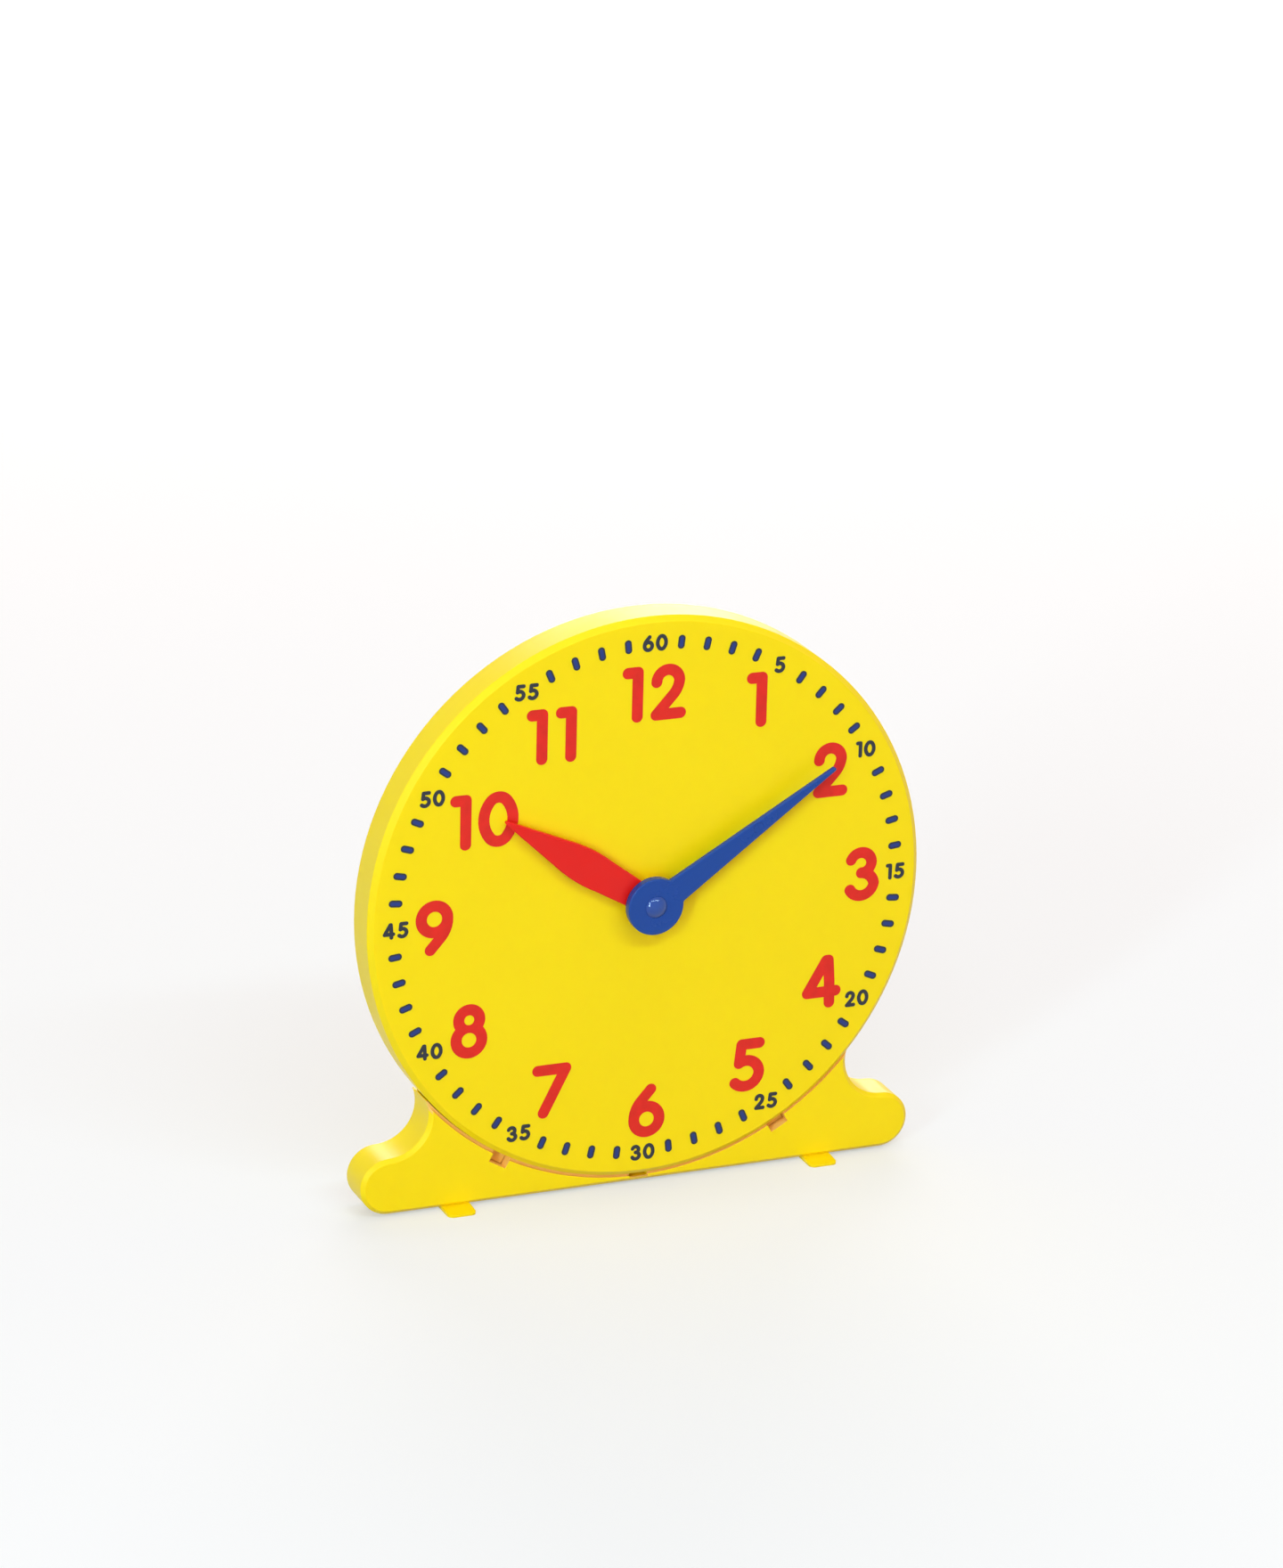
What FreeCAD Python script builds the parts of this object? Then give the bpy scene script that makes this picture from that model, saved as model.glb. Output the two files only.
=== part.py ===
"""A geared teaching clock: a round head with two geared hands, clipped into a stand with two plug-in feet.

+X is right, +Y is away from the reader and +Z is up. The origin is on the table, in the middle of the clock's
width and depth. Every length is in millimetres.
Places on the head are given across and up from the axis of the hands, with a depth: the distance behind the
front of the dial, so that a negative depth is in front of it.
"""

import FreeCAD, Part
import math
import os

Vector = FreeCAD.Vector
BACK = Vector(0, 1, 0)
UP = Vector(0, 0, 1)

# Turns, in degrees
FULL_TURN = 360
HALF_TURN = 180
QUARTER_TURN = 90
DIAGONAL_SHARE = math.sqrt(0.5)

# Clearances
running_gap = 0.1       # round the arbor and the axle
pressed_gap = 0.03      # round what is pressed or screwed in
end_play = 0.3          # along an axle, between a gear and its thrust face
seat_gap = 0.3          # round a cover or a head in its seat
overrun = 1.0           # how far a cut goes past the face that it opens
same_depth = 0.01       # depths that are nearer than this are one depth

# The dial and its rim
dial_radius = 120.0
dial_wall = 2.2
dial_edge_chamfer = 2.2
rim_wall = 2.0
cover_ledge = 1.2       # how far the step under the cover stands in from the rim
rib_height = 5.0
rib_width = 1.6
rib_gap = 4.0           # between the lay wheel and the ring rib round the gears
RIB_COUNT = 6

# The cover and its screws
cover_wall = 2.0
cover_chamfer = 0.6
cover_screw_inset = 16.0
cover_screw_radius = 1.5
cover_screw_length = 8.0
cover_head_radius = 2.8
cover_column_radius = 4.4
COVER_SCREW_COUNT = 4
COVER_SCREW_TURN_SHARE = 0.5    # the first screw's place, in steps from the top

# The plate that carries the train from behind, and its screws
plate_wall = 2.4
plate_lobe = 5.0        # from a screw to the edge of the plate
plate_screw_across = 21.0
plate_screw_beyond = 22.0       # above the arbor, and as far below the lay axle
plate_waist = 13.0
plate_side_bow = 45.0
plate_end_dip = 14.0
plate_end_bow = 17.0
plate_screw_radius = 1.25
plate_screw_length = 7.0
plate_head_radius = 2.3
plate_column_radius = 3.6
plate_cover_gap = 0.4

# What all screws share
screw_hole_gap = 0.2
screw_head_gap = 0.15   # round a head, where its sink opens
screw_head_sink = 0.1   # how far a head lies below the face around it
screw_blind = 1.0       # how far a pilot hole goes past its screw

# The gears
gear_module = 1.0
tooth_gap = 0.14        # taken off each tooth's thickness
PRESSURE_ANGLE = 25
ADDENDUM_SHARE = 0.9
DEDENDUM_SHARE = 1.25
HOUR_TEETH = 48
LAY_PINION_TEETH = 12
LAY_WHEEL_TEETH = 45
ARBOR_TEETH = 15
hour_wheel_width = 4.0
lay_wheel_width = 3.5
layer_gap = 0.6         # between the two layers of wheels
pinion_overhang = 0.15  # how far the arbor's pinion passes each side of its wheel
web_width = 1.6
gear_rim = 3.0          # under the teeth

# The arbor, the hour tube and the lay axle
arbor_radius = 3.0
arbor_end_radius = 2.5
arbor_flat = 0.6        # how deep the flat on the arbor's end is
shoulder_radius = 5.0
shoulder_height = 0.65
hour_tube_wall = 2.4
hour_seat_step = 0.5    # how far the hand's seat is turned down from the tube
hour_seat_flat = 0.7    # how deep the two flats on the seat are
hour_collar_wall = 0.5
hour_collar_height = 0.2
hour_hub_wall = 3.0     # round the tube, in the middle of the hour wheel
tube_bearing_gap = 0.1
axle_radius = 1.5
axle_skin = 0.9         # the dial left in front of the axle
lay_hub_wall = 3.0
thrust_boss_height = 0.6
thrust_boss_wall = 3.0
front_boss_height = 1.4
front_boss_wall = 2.3

# The friction spring behind the arbor
spring_room = 0.6
spring_sheet = 0.3
spring_rise = 0.2
spring_wall = 2.6

# The hands. A half width stands for each side of the hand's middle line.
hand_play = 0.4         # between a hand and what turns under it
hand_edge_chamfer = 0.4
hour_length = 76.0
hour_hub_radius = 10.0
hour_hub_height = 2.5
hour_blade = 2.1
hour_blade_step = 0.2   # how far the blade lies behind the front of its hub
hour_root_half = 5.3
hour_shoulder_half = 6.9
hour_belly_half = 7.4
hour_taper_half = 6.6
hour_tip_half = 0.8
hour_shoulder_place = 25.0
hour_taper_place = 43.0
tube_proud = 0.2        # how far the tube stands out of the hour hand
minute_length = 92.6
minute_hub_radius = 12.0
minute_hub_height = 3.4
minute_blade = 2.0
minute_root_half = 5.6
minute_root_round = 1.5
minute_tip_half = 0.8
hand_floor = 1.3        # the hand's wall under its screw
socket_end_gap = 0.1
ejector_mark_radius = 2.3
ejector_mark_depth = 0.2
ejector_mark_place = 52.7
MINUTE_HAND_ANGLE = 56.8
HOUR_HAND_ANGLE = 303.3

# The screw that holds the minute hand, and the cap over it
hand_screw_radius = 1.0
hand_screw_length = 6.0
hand_head_radius = 2.0
cap_radius = 4.7
cap_height = 2.2
cap_chamfer = 1.1
cap_plug_radius = 3.6
cap_recess = 0.6

# The stand
below_dial = 4.0        # from the lowest point of the dial to the stand's lower edge
neck_radius = 17.0
toe_radius = 12.0
stand_setback = 3.0     # how far the stand's front lies behind the dial's
stand_depth = 18.0
stand_plate = 2.2
stand_wall = 2.0
stand_edge_chamfer = 1.6
horn_rise = 6.0         # how far the stand's horns rise above the middle of the neck's curve
groove_width = 1.6      # the open line seen round the dial
groove_depth = 1.2
lip_width = 4.0         # what the lip behind the head overlaps
lip_thickness = 2.0
stand_rib_place = 45.0
stand_rib_width = 1.6
stand_rib_depth = 8.0

# The three tabs that clip the head into the stand
TAB_STEP = 30           # degrees between the tabs
tab_width = 7.6
tab_setback = 8.0
tab_thickness = 4.0
side_tab_reach = 4.9
low_tab_reach = 2.1
tab_pocket_wall = 1.6

# The feet
foot_inset = 29.0       # from the middle of a toe to the middle of its foot
skid_width = 12.2
skid_thickness = 1.5
skid_corner = 2.5
toe_reach = 8.0         # how far a foot shows in front of the stand
toe_tip = 0.9           # how thick its front end is
tail_reach = 61.6       # from the front of the dial to the back ends of the feet
web_thickness = 3.0
web_height = 15.0
web_tail_inset = 4.0
web_tail_height = 1.2
web_sag = 4.0           # how far the web's sloping edge bows in
web_head_gap = 0.3      # between the web and the socket's front
socket_wall = 1.6


# What follows from the sizes above
def step(count):
    return FULL_TURN / count


AXIS = (0, 0)
centre_distance = gear_module * (HOUR_TEETH + LAY_PINION_TEETH) / 2
LAY_AXIS = (0, -centre_distance)

hour_bore = arbor_radius + running_gap
hour_tube_radius = hour_bore + hour_tube_wall
dial_hole_radius = hour_tube_radius + tube_bearing_gap
thrust_boss_back = dial_wall + thrust_boss_height

hour_wheel_front = thrust_boss_back + end_play
hour_wheel_back = hour_wheel_front + hour_wheel_width
lay_wheel_front = hour_wheel_back + layer_gap
lay_wheel_back = lay_wheel_front + lay_wheel_width
arbor_pinion_front = lay_wheel_front - pinion_overhang
arbor_pinion_back = lay_wheel_back + pinion_overhang
shoulder_back = arbor_pinion_back + shoulder_height
plate_front = shoulder_back + spring_room
plate_back = plate_front + plate_wall
cover_front = plate_back + plate_cover_gap
head_depth = cover_front + cover_wall
cover_radius = dial_radius - rim_wall - seat_gap
cover_screw_circle = dial_radius - cover_screw_inset
ring_rib_radius = centre_distance + gear_module * (LAY_WHEEL_TEETH / 2 + ADDENDUM_SHARE) + rib_gap

hour_hub_back = -(front_boss_height + hand_play)
hour_hub_front = hour_hub_back - hour_hub_height
tube_front = hour_hub_front - tube_proud
minute_hub_back = tube_front - hand_play
minute_hub_front = minute_hub_back - minute_hub_height
hand_screw_seat = minute_hub_front + cap_recess
arbor_end_front = hand_screw_seat + hand_floor + socket_end_gap
cap_front = minute_hub_front - cap_height
minute_root_place = math.sqrt(minute_hub_radius**2 - minute_root_half**2)

stand_low = -(dial_radius + below_dial)
stand_back = stand_setback + stand_depth
stand_seat_radius = dial_radius + seat_gap
neck_height = stand_low + 2 * toe_radius + neck_radius
neck_place = math.sqrt((dial_radius + neck_radius) ** 2 - neck_height**2)
foot_place = neck_place - foot_inset
lip_front = head_depth + seat_gap

dial_y = -(cap_front + tail_reach) / 2
dial_z = skid_thickness - stand_low


# Shapes
def at(across, depth, up):
    return Vector(across, depth, up)


def polar(centre, radius, angle):
    """A point across the head, at a clock angle: from straight up, turning to the right."""
    turn = math.radians(angle)
    return centre[0] + radius * math.sin(turn), centre[1] + radius * math.cos(turn)


def barrel(radius, front, back, centre=AXIS):
    """A cylinder from one depth to another."""
    return Part.makeCylinder(radius, back - front, at(centre[0], front, centre[1]), BACK)


def tube(outer, inner, front, back):
    return barrel(outer, front, back).cut(barrel(inner, front, back))


def block(width, front, back, low, high, across=0):
    """A box that is centred on one place across, between two depths and two heights."""
    return Part.makeBox(width, back - front, high - low, at(across - width / 2, front, low))


def outlined(start, steps):
    """A face with a drawn outline. Each step is an end point, or a point on the way and an end point."""
    edges = []
    here = start
    for points in steps:
        corners = [here, *points]
        kind = Part.LineSegment if len(corners) == 2 else Part.Arc
        edges.append(kind(*corners).toShape())
        here = points[-1]
    return Part.Face(Part.Wire(edges))


def slab(start, steps, front, back):
    """A plate across the head, from an outline of places across and up."""
    placed = [[at(across, front, up) for across, up in points] for points in steps]
    return outlined(at(start[0], front, start[1]), placed).extrude(BACK * (back - front))


def lathed(start, steps):
    """A round piece about the hands' axis, from an outline of radii and depths."""
    placed = [[at(radius, depth, 0) for radius, depth in points] for points in steps]
    return outlined(at(start[0], start[1], 0), placed).revolve(at(0, 0, 0), BACK, FULL_TURN)


def turned(shape, angle, centre=AXIS):
    """A copy of the shape, turned clockwise as the reader sees it."""
    copy = shape.copy()
    copy.rotate(at(centre[0], 0, centre[1]), BACK, angle)
    return copy


def ring_of(shape, count, first_angle=0, centre=AXIS):
    """Copies of a shape, evenly round an axis."""
    return [turned(shape, first_angle + step(count) * i, centre) for i in range(count)]


def joined(shape, others):
    return shape.fuse(list(others)).removeSplitter()


def edges_at(shape, depth):
    """The edges that lie wholly at one depth."""
    return [edge for edge in shape.Edges
            if abs(edge.BoundBox.YMin - depth) < same_depth and abs(edge.BoundBox.YMax - depth) < same_depth]


# Screws and what holds them
def cone(front_radius, back_radius, front, back, place=AXIS):
    return Part.makeCone(front_radius, back_radius, back - front, at(place[0], front, place[1]), BACK)


def screw(face, length, shank_radius, head_radius, place=AXIS):
    """A countersunk screw, driven in from behind through a panel with its back at the face."""
    head_back = face - screw_head_sink
    neck = head_back - (head_radius - shank_radius)
    head = cone(shank_radius, head_radius, neck, head_back, place)
    return joined(head, [barrel(shank_radius, head_back - length, neck, place)])


def screw_hole(face, through, shank_radius, head_radius, place=AXIS):
    """The cut for a countersunk screw: a sink that opens at the face, and a hole through the panel."""
    narrow = shank_radius + screw_hole_gap
    wide = head_radius + screw_head_gap
    sink = cone(narrow, wide + overrun, face - (wide - narrow), face + overrun, place)
    return sink.fuse(barrel(narrow, face - through - overrun, face, place))


def from_front(shape, face):
    """Turns a screw or its hole round at the face, so that it goes in from in front."""
    shape.rotate(at(0, face, 0), UP, HALF_TURN)
    return shape


def pilot_hole(face, length, shank_radius, top, place=AXIS):
    """The blind hole that a screw cuts its thread in, open at the top of its column."""
    bottom = face - screw_head_sink - length - screw_blind
    return barrel(shank_radius + pressed_gap, bottom, top + overrun, place)


def cover_places():
    turns = [i + COVER_SCREW_TURN_SHARE for i in range(COVER_SCREW_COUNT)]
    return [polar(AXIS, cover_screw_circle, step(COVER_SCREW_COUNT) * turn) for turn in turns]


def plate_places():
    heights = (plate_screw_beyond, -centre_distance - plate_screw_beyond)
    return [(side * plate_screw_across, up) for side in (-1, 1) for up in heights]


# The head's pieces
def dial_shell():
    """The front of the head: the dial and its rim, what is moulded behind the dial, and the tabs below."""
    inner_radius = dial_radius - rim_wall
    ledge_radius = inner_radius - cover_ledge
    shell = lathed((0, 0), [
        [(dial_radius - dial_edge_chamfer, 0)],
        [(dial_radius, dial_edge_chamfer)],
        [(dial_radius, head_depth)],
        [(inner_radius, head_depth)],
        [(inner_radius, cover_front)],
        [(ledge_radius, cover_front)],
        [(ledge_radius, dial_wall)],
        [(0, dial_wall)],
        [(0, 0)],
    ])
    inside = dial_wall / 2
    rib_back = dial_wall + rib_height
    rib = block(rib_width, inside, rib_back, ring_rib_radius, ledge_radius + cover_ledge / 2)
    additions = [
        barrel(dial_hole_radius + thrust_boss_wall, inside, thrust_boss_back),
        barrel(dial_hole_radius + front_boss_wall, -front_boss_height, inside),
        barrel(axle_radius + thrust_boss_wall, inside, thrust_boss_back, LAY_AXIS),
        tube(ring_rib_radius + rib_width, ring_rib_radius, inside, rib_back),
    ]
    additions += ring_of(rib, RIB_COUNT, step(RIB_COUNT) / 2) + tabs()
    cuts = [
        barrel(dial_hole_radius, -front_boss_height - overrun, thrust_boss_back + overrun),
        barrel(axle_radius + pressed_gap, axle_skin, thrust_boss_back + overrun, LAY_AXIS),
    ]
    for place in cover_places():
        additions.append(barrel(cover_column_radius, inside, cover_front, place))
        cuts.append(pilot_hole(head_depth, cover_screw_length, cover_screw_radius, cover_front, place))
    for place in plate_places():
        additions.append(barrel(plate_column_radius, inside, plate_front, place))
        cuts.append(pilot_hole(plate_back, plate_screw_length, plate_screw_radius, plate_front, place))
    return joined(shell, additions).cut(cuts)


def tab_reaches():
    """The angle of each tab and how far it stands out of the rim."""
    return [
        (HALF_TURN - TAB_STEP, side_tab_reach),
        (HALF_TURN, low_tab_reach),
        (HALF_TURN + TAB_STEP, side_tab_reach),
    ]


def tabs():
    """The tabs on the rim that hold the head in its stand."""
    made = []
    for angle, reach in tab_reaches():
        root = dial_radius - rim_wall / 2
        tab = block(tab_width, tab_setback, tab_setback + tab_thickness, root, dial_radius + reach)
        made.append(turned(tab, angle))
    return made


def back_cover():
    """The cover that closes the head."""
    cover = barrel(cover_radius, cover_front, head_depth)
    cover = cover.makeChamfer(cover_chamfer, edges_at(cover, head_depth))
    return cover.cut([
        screw_hole(head_depth, cover_wall, cover_screw_radius, cover_head_radius, place)
        for place in cover_places()])


def cover_screws():
    return Part.makeCompound([
        screw(head_depth, cover_screw_length, cover_screw_radius, cover_head_radius, place)
        for place in cover_places()])


def gear_plate():
    """The waisted plate behind the train, with the bearings of the arbor and the lay axle."""
    width = 2 * (plate_screw_across + plate_lobe)
    high = plate_screw_beyond + plate_lobe
    low = -centre_distance - high
    middle = (high + low) / 2
    plate = block(width, plate_front, plate_back, low, high)
    corners = [edge for edge in plate.Edges if edge.BoundBox.YLength > plate_wall / 2]
    plate = plate.makeFillet(plate_lobe, corners)
    cuts = [
        barrel(arbor_radius + running_gap, plate_front - overrun, plate_back + overrun),
        barrel(axle_radius + pressed_gap, plate_front - overrun, plate_back + overrun, LAY_AXIS),
    ]
    for side in (-1, 1):
        beside = (side * (plate_waist + plate_side_bow), middle)
        beyond = (0, middle + side * ((high - low) / 2 - plate_end_dip + plate_end_bow))
        for bow, centre in ((plate_side_bow, beside), (plate_end_bow, beyond)):
            cuts.append(barrel(bow, plate_front - overrun, plate_back + overrun, centre))
    for place in plate_places():
        cuts.append(screw_hole(plate_back, plate_wall, plate_screw_radius, plate_head_radius, place))
    return plate.cut(cuts)


def plate_screws():
    return Part.makeCompound([
        screw(plate_back, plate_screw_length, plate_screw_radius, plate_head_radius, place)
        for place in plate_places()])


# The gear train
def involute(angle):
    return math.tan(angle) - angle


def gear(teeth, front, back, centre=AXIS, tooth_up=True):
    """A spur gear with involute teeth. Either a tooth or a gap points straight up.

    An involute this small is nearly straight, so each flank is two lines that meet on the curve."""
    pitch_radius = gear_module * teeth / 2
    pressure = math.radians(PRESSURE_ANGLE)
    base_radius = pitch_radius * math.cos(pressure)
    tip_radius = pitch_radius + gear_module * ADDENDUM_SHARE
    root_radius = pitch_radius - gear_module * DEDENDUM_SHARE
    flank_start = max(base_radius, root_radius)
    thickness = math.pi * gear_module / 2 - tooth_gap

    def half_angle(radius):
        at_pitch = thickness / (2 * pitch_radius) + involute(pressure)
        return math.degrees(at_pitch - involute(math.acos(min(1, base_radius / radius))))

    def flank(radius, middle, side):
        return polar(centre, radius, middle + side * half_angle(radius))

    pitch = step(teeth)
    middle_radius = (flank_start + tip_radius) / 2
    first = 0 if tooth_up else pitch / 2
    root_half = half_angle(flank_start)
    start = polar(centre, root_radius, first - root_half)
    steps = []
    for i in range(teeth):
        middle = first + pitch * i
        if root_radius < flank_start:
            steps.append([flank(flank_start, middle, -1)])
        for radius, side in ((middle_radius, -1), (tip_radius, -1), (tip_radius, 1), (middle_radius, 1)):
            steps.append([flank(radius, middle, side)])
        steps.append([flank(flank_start, middle, 1)])
        if root_radius < flank_start:
            steps.append([polar(centre, root_radius, middle + root_half)])
        next_root = start if i == teeth - 1 else polar(centre, root_radius, middle + pitch - root_half)
        steps.append([next_root])
    return slab(start, steps, front, back)


def webbed(wheel, teeth, hub_radius, front, back, centre=AXIS):
    """Hollows both faces of a wheel down to a web between its hub and its rim."""
    rim_radius = gear_module * (teeth / 2 - DEDENDUM_SHARE) - gear_rim
    middle = (front + back) / 2
    hollows = []
    for low, high in ((front, middle - web_width / 2), (middle + web_width / 2, back)):
        hollows.append(barrel(rim_radius, low, high, centre).cut(barrel(hub_radius, low, high, centre)))
    return wheel.cut(hollows)


def hour_seat(gap, front, back):
    """The end of the hour tube, with a flat on each side so that the hand can't slip round it."""
    radius = hour_tube_radius - hour_seat_step
    half = radius - hour_seat_flat + gap
    return barrel(radius + gap, front, back).common(block(2 * half, front, back, -radius - gap, radius + gap))


def hour_wheel():
    """The hour wheel and the tube that carries the hour hand, in one moulding."""
    collar_back = hour_wheel_back + hour_collar_height
    wheel = gear(HOUR_TEETH, hour_wheel_front, hour_wheel_back, tooth_up=False)
    wheel = webbed(wheel, HOUR_TEETH, hour_tube_radius + hour_hub_wall, hour_wheel_front, hour_wheel_back)
    wheel = joined(wheel, [
        barrel(hour_tube_radius + hour_collar_wall, hour_wheel_back - web_width, collar_back),
        barrel(hour_tube_radius, hour_hub_back, hour_wheel_front + web_width),
        hour_seat(0, tube_front, hour_hub_back + overrun),
    ])
    return wheel.cut(barrel(hour_bore, tube_front - overrun, collar_back + overrun))


def arbor_end(gap, front, back):
    """The end of the arbor, with one flat."""
    radius = arbor_end_radius + gap
    flat_height = arbor_end_radius - arbor_flat + gap
    end = barrel(radius, front, back).common(block(2 * radius, front, back, -radius, flat_height))
    return turned(end, MINUTE_HAND_ANGLE)


def minute_arbor():
    """The arbor: it carries the minute hand in front and drives the train with its pinion."""
    pinion = gear(ARBOR_TEETH, arbor_pinion_front, arbor_pinion_back)
    arbor = joined(pinion, [
        barrel(shoulder_radius, arbor_pinion_back - web_width, shoulder_back),
        barrel(arbor_radius, minute_hub_back, plate_back),
        arbor_end(0, arbor_end_front, minute_hub_back + overrun),
    ])
    top = 2 * hand_screw_seat - arbor_end_front
    pilot = pilot_hole(hand_screw_seat, hand_screw_length, hand_screw_radius, top)
    return arbor.cut(from_front(pilot, hand_screw_seat))


def lay_gear():
    """The wheel and pinion that pass the arbor's motion on to the hour wheel."""
    bore = axle_radius + running_gap
    pinion_tip = gear_module * (LAY_PINION_TEETH / 2 + ADDENDUM_SHARE)
    wheel = gear(LAY_WHEEL_TEETH, lay_wheel_front, lay_wheel_back, LAY_AXIS)
    wheel = webbed(wheel, LAY_WHEEL_TEETH, pinion_tip, lay_wheel_front, lay_wheel_back, LAY_AXIS)
    wheel = joined(wheel, [
        gear(LAY_PINION_TEETH, hour_wheel_front, lay_wheel_front, LAY_AXIS),
        barrel(bore + lay_hub_wall, lay_wheel_back - web_width, plate_front - end_play, LAY_AXIS),
    ])
    return wheel.cut(barrel(bore, hour_wheel_front - overrun, plate_front + overrun, LAY_AXIS))


def lay_axle():
    return barrel(axle_radius, axle_skin, plate_back, LAY_AXIS)


def friction_spring():
    """A dished steel washer that bears on the arbor, so that the hands stay where they are put."""
    inner = hour_bore
    outer = inner + spring_wall
    front = plate_front - spring_sheet - spring_rise
    return lathed((inner, front), [
        [(inner, front + spring_sheet)],
        [(outer, plate_front)],
        [(outer, plate_front - spring_sheet)],
        [(inner, front)],
    ])


# The hands
def hour_hand():
    """The hour hand: a leaf that is widest under half way out."""
    belly_place = (hour_shoulder_place + hour_taper_place) / 2
    tip = hour_length - hour_tip_half
    start = (-hour_root_half, 0)
    blade_front = hour_hub_front + hour_blade_step
    blade = slab(start, [
        [(-hour_shoulder_half, hour_shoulder_place)],
        [(-hour_belly_half, belly_place), (-hour_taper_half, hour_taper_place)],
        [(-hour_tip_half, tip)],
        [(0, hour_length), (hour_tip_half, tip)],
        [(hour_taper_half, hour_taper_place)],
        [(hour_belly_half, belly_place), (hour_shoulder_half, hour_shoulder_place)],
        [(hour_root_half, 0)],
        [start],
    ], blade_front, blade_front + hour_blade)
    blade = blade.makeChamfer(hand_edge_chamfer, edges_at(blade, blade_front))
    hand = turned(joined(blade, [barrel(hour_hub_radius, hour_hub_front, hour_hub_back)]), HOUR_HAND_ANGLE)
    return hand.cut(hour_seat(pressed_gap, hour_hub_front - overrun, hour_hub_back + overrun))


def minute_hand():
    """The minute hand: a long taper that runs into a round hub, with a socket for the arbor behind."""
    tip = minute_length - minute_tip_half
    root = (minute_root_half, minute_root_place)
    start = (-minute_root_half, minute_root_place)
    blade_back = minute_hub_front + minute_blade
    hand = slab(start, [
        [(-minute_tip_half, tip)],
        [(0, minute_length), (minute_tip_half, tip)],
        [root],
        [(0, -minute_hub_radius), start],
    ], minute_hub_front, blade_back)
    creases = [edge for edge in hand.Edges
               if edge.BoundBox.YLength > minute_blade / 2
               and abs(edge.BoundBox.ZMin - minute_root_place) < same_depth]
    hand = hand.makeFillet(minute_root_round, creases)
    hand = hand.makeChamfer(hand_edge_chamfer, edges_at(hand, minute_hub_front))
    hand = joined(hand, [barrel(minute_hub_radius, minute_hub_front + hand_edge_chamfer, minute_hub_back)])
    mark_back = minute_hub_front + ejector_mark_depth
    screw_way = screw_hole(hand_screw_seat, hand_floor, hand_screw_radius, hand_head_radius)
    hand = hand.cut([
        barrel(ejector_mark_radius, minute_hub_front - overrun, mark_back, (0, ejector_mark_place)),
        barrel(cap_plug_radius + pressed_gap, minute_hub_front - overrun, hand_screw_seat),
        from_front(screw_way, hand_screw_seat),
    ])
    socket = arbor_end(pressed_gap, hand_screw_seat + hand_floor, minute_hub_back + overrun)
    return turned(hand, MINUTE_HAND_ANGLE).cut(socket)


def hand_screw():
    """The small screw that holds the minute hand on its arbor, driven in from the front."""
    made = screw(hand_screw_seat, hand_screw_length, hand_screw_radius, hand_head_radius)
    return from_front(made, hand_screw_seat)


def hand_cap():
    """The button over the hand's screw, with a short plug that is pressed into the hub."""
    return lathed((0, cap_front), [
        [(cap_radius - cap_chamfer, cap_front)],
        [(cap_radius, cap_front + cap_chamfer)],
        [(cap_radius, minute_hub_front)],
        [(cap_plug_radius, minute_hub_front)],
        [(cap_plug_radius, hand_screw_seat - pressed_gap)],
        [(0, hand_screw_seat - pressed_gap)],
        [(0, cap_front)],
    ])


# The stand
def stand_outline(inset, front, back):
    """The stand's outline: necks that touch the dial's circle, round toes and a flat lower edge.

    An inset draws the same outline that far inside."""
    toe_height = stand_low + toe_radius
    neck = neck_radius + inset
    toe = toe_radius - inset
    meets_dial = math.degrees(math.atan2(neck_place, neck_height)) - HALF_TURN
    neck_middle = (meets_dial - HALF_TURN) / 2

    def on(side, height, radius, angle):
        across, up = polar((neck_place, height), radius, angle)
        return side * across, up

    start = on(1, neck_height, neck, meets_dial)
    return slab(start, [
        [on(1, neck_height, neck, neck_middle), on(1, neck_height, neck, HALF_TURN)],
        [on(1, toe_height, toe, QUARTER_TURN), on(1, toe_height, toe, HALF_TURN)],
        [on(-1, toe_height, toe, HALF_TURN)],
        [on(-1, toe_height, toe, QUARTER_TURN), on(-1, toe_height, toe, 0)],
        [on(-1, neck_height, neck, neck_middle), on(-1, neck_height, neck, meets_dial)],
        [start],
    ], front, back)


def tab_pocket(reach, wall, front, back):
    """The room round one tab, pointing up, or with a wall the block that the room is cut from."""
    width = tab_width + 2 * (seat_gap + wall)
    return block(width, front, back, dial_radius - seat_gap, dial_radius + reach + seat_gap + wall)


def stand_body():
    """The stand's outer form, with its front edge chamfered except along the top, which the head hides."""
    body = stand_outline(0, stand_setback, stand_back)
    shown = [edge for edge in edges_at(body, stand_setback) if edge.BoundBox.ZMin < neck_height]
    return body.makeChamfer(stand_edge_chamfer, shown)


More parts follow.
